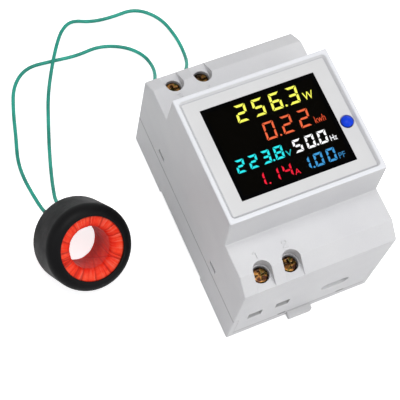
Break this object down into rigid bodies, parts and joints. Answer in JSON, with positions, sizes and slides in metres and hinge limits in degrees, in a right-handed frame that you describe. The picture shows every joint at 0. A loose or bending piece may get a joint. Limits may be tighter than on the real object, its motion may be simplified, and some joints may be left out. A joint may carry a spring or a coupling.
{
  "type": "din rail energy meter",
  "caption": "Rail-mounted energy meter with a colour display, blue push button, screw terminals and a ring current transformer on two leads",
  "frame": {"origin": "On the plane where the rail flanges seat, at the middle of the rail groove and of the width", "axes": "+X along the rail to the right, +Y up the face towards the leads' end, +Z out to the front"},
  "size_m": [0.1046, 0.134, 0.0632],
  "materials": {
    "housing_plastic": "fine satin moulded light grey",
    "clip_plastic": "satin moulded light grey",
    "button_blue": "glossy blue cap",
    "face_film": "smooth light grey overlay",
    "window_tint": "clear tinted window",
    "lcd_black": "black display with coloured digits",
    "guide_white": "frosted light guide",
    "led_white": "pale lamp package",
    "strip_rubber": "layered elastomer",
    "black_plastic": "dull black moulding",
    "board_green": "green solder mask",
    "zinc_screw": "yellow zinc plate",
    "small_screw": "bright zinc plate",
    "cage_brass": "nickel-washed brass",
    "bar_brass": "tinned brass",
    "spring_steel": "spring wire",
    "film_box": "yellow case",
    "can_sleeve": "black sleeve",
    "disc_blue": "blue lacquer",
    "core_steel": "dark laminated steel",
    "crystal_can": "bright can",
    "ring_black": "satin black shell",
    "tape_red": "wrinkled glossy red tape",
    "winding_copper": "enamelled copper",
    "grommet_black": "black rubber",
    "lead_green": "teal green insulation"
  },
  "bodies": {
    "meter": {"front_cover": "housing_plastic", "base_shell": "housing_plastic", "face_plate": "face_film", "display_window": "window_tint", "lcd_panel": "lcd_black", "backlight_guide": "guide_white", "backlight_leds": "led_white", "contact_strips": "strip_rubber", "lcd_frame": "black_plastic", "riser_headers": "black_plastic", "tact_switch": "black_plastic", "metering_chip": "black_plastic", "microcontroller": "black_plastic", "bridge_rectifier": "black_plastic", "transformer_bobbin": "black_plastic", "burden_resistors": "black_plastic", "main_board": "board_green", "riser_board": "board_green", "display_board": "board_green", "main_board_screws": "small_screw", "display_board_screws": "small_screw", "contact_bars": "bar_brass", "clip_spring": "spring_steel", "film_capacitor": "film_box", "bulk_capacitor": "can_sleeve", "varistor": "disc_blue", "transformer_core": "core_steel", "ct_core": "core_steel", "clock_crystal": "crystal_can", "ct_case": "ring_black", "ct_tape": "tape_red", "ct_winding": "winding_copper", "lead_core_a": "winding_copper", "lead_core_b": "winding_copper", "ct_grommets": "grommet_black", "ct_lead_a": "lead_green", "ct_lead_b": "lead_green"},
    "button": {"reset_button": "button_blue", "switch_plunger": "black_plastic"},
    "clip": {"rail_clip": "clip_plastic"},
    "screw_1": {"terminal_screw_1": "zinc_screw"},
    "cage_1": {"clamp_cage_1": "cage_brass"},
    "screw_2": {"terminal_screw_2": "zinc_screw"},
    "cage_2": {"clamp_cage_2": "cage_brass"},
    "screw_3": {"terminal_screw_3": "zinc_screw"},
    "cage_3": {"clamp_cage_3": "cage_brass"},
    "screw_4": {"terminal_screw_4": "zinc_screw"},
    "cage_4": {"clamp_cage_4": "cage_brass"}
  },
  "joints": [
    {"name": "button_press", "type": "slide", "parent": "meter", "child": "button", "axis": [0, 0, -1], "range_m": [0, 0.0004], "stiffness_N_per_m": 4000, "springref_m": -0.0001},
    {"name": "clip_release", "type": "slide", "parent": "meter", "child": "clip", "axis": [0, -1, 0], "range_m": [0, 0.0025], "stiffness_N_per_m": 4700, "springref_m": -0.0005, "deforming": ["clip_spring"]},
    {"name": "screw_1_turn", "type": "hinge", "parent": "meter", "child": "screw_1", "pos_m": [-0.0191, -0.0346, 0.04], "axis": [0, 0, -1], "range_deg": [0, 3025]},
    {"name": "cage_1_rise", "type": "slide", "parent": "meter", "child": "cage_1", "axis": [0, 0, 1], "range_m": [0, 0.0042]},
    {"name": "screw_2_turn", "type": "hinge", "parent": "meter", "child": "screw_2", "pos_m": [-0.009, -0.0346, 0.04], "axis": [0, 0, -1], "range_deg": [0, 3025]},
    {"name": "cage_2_rise", "type": "slide", "parent": "meter", "child": "cage_2", "axis": [0, 0, 1], "range_m": [0, 0.0042]},
    {"name": "screw_3_turn", "type": "hinge", "parent": "meter", "child": "screw_3", "pos_m": [-0.0191, 0.0346, 0.04], "axis": [0, 0, -1], "range_deg": [-2377, 0]},
    {"name": "cage_3_rise", "type": "slide", "parent": "meter", "child": "cage_3", "axis": [0, 0, 1], "range_m": [-0.0033, 0]},
    {"name": "screw_4_turn", "type": "hinge", "parent": "meter", "child": "screw_4", "pos_m": [-0.009, 0.0346, 0.04], "axis": [0, 0, -1], "range_deg": [-2377, 0]},
    {"name": "cage_4_rise", "type": "slide", "parent": "meter", "child": "cage_4", "axis": [0, 0, 1], "range_m": [-0.0033, 0]}
  ],
  "couplings": [
    {"joint": "screw_1_turn", "follows": "cage_1_rise", "rad_per_m": 12566},
    {"joint": "screw_2_turn", "follows": "cage_2_rise", "rad_per_m": 12566},
    {"joint": "screw_3_turn", "follows": "cage_3_rise", "rad_per_m": 12566},
    {"joint": "screw_4_turn", "follows": "cage_4_rise", "rad_per_m": 12566}
  ]
}
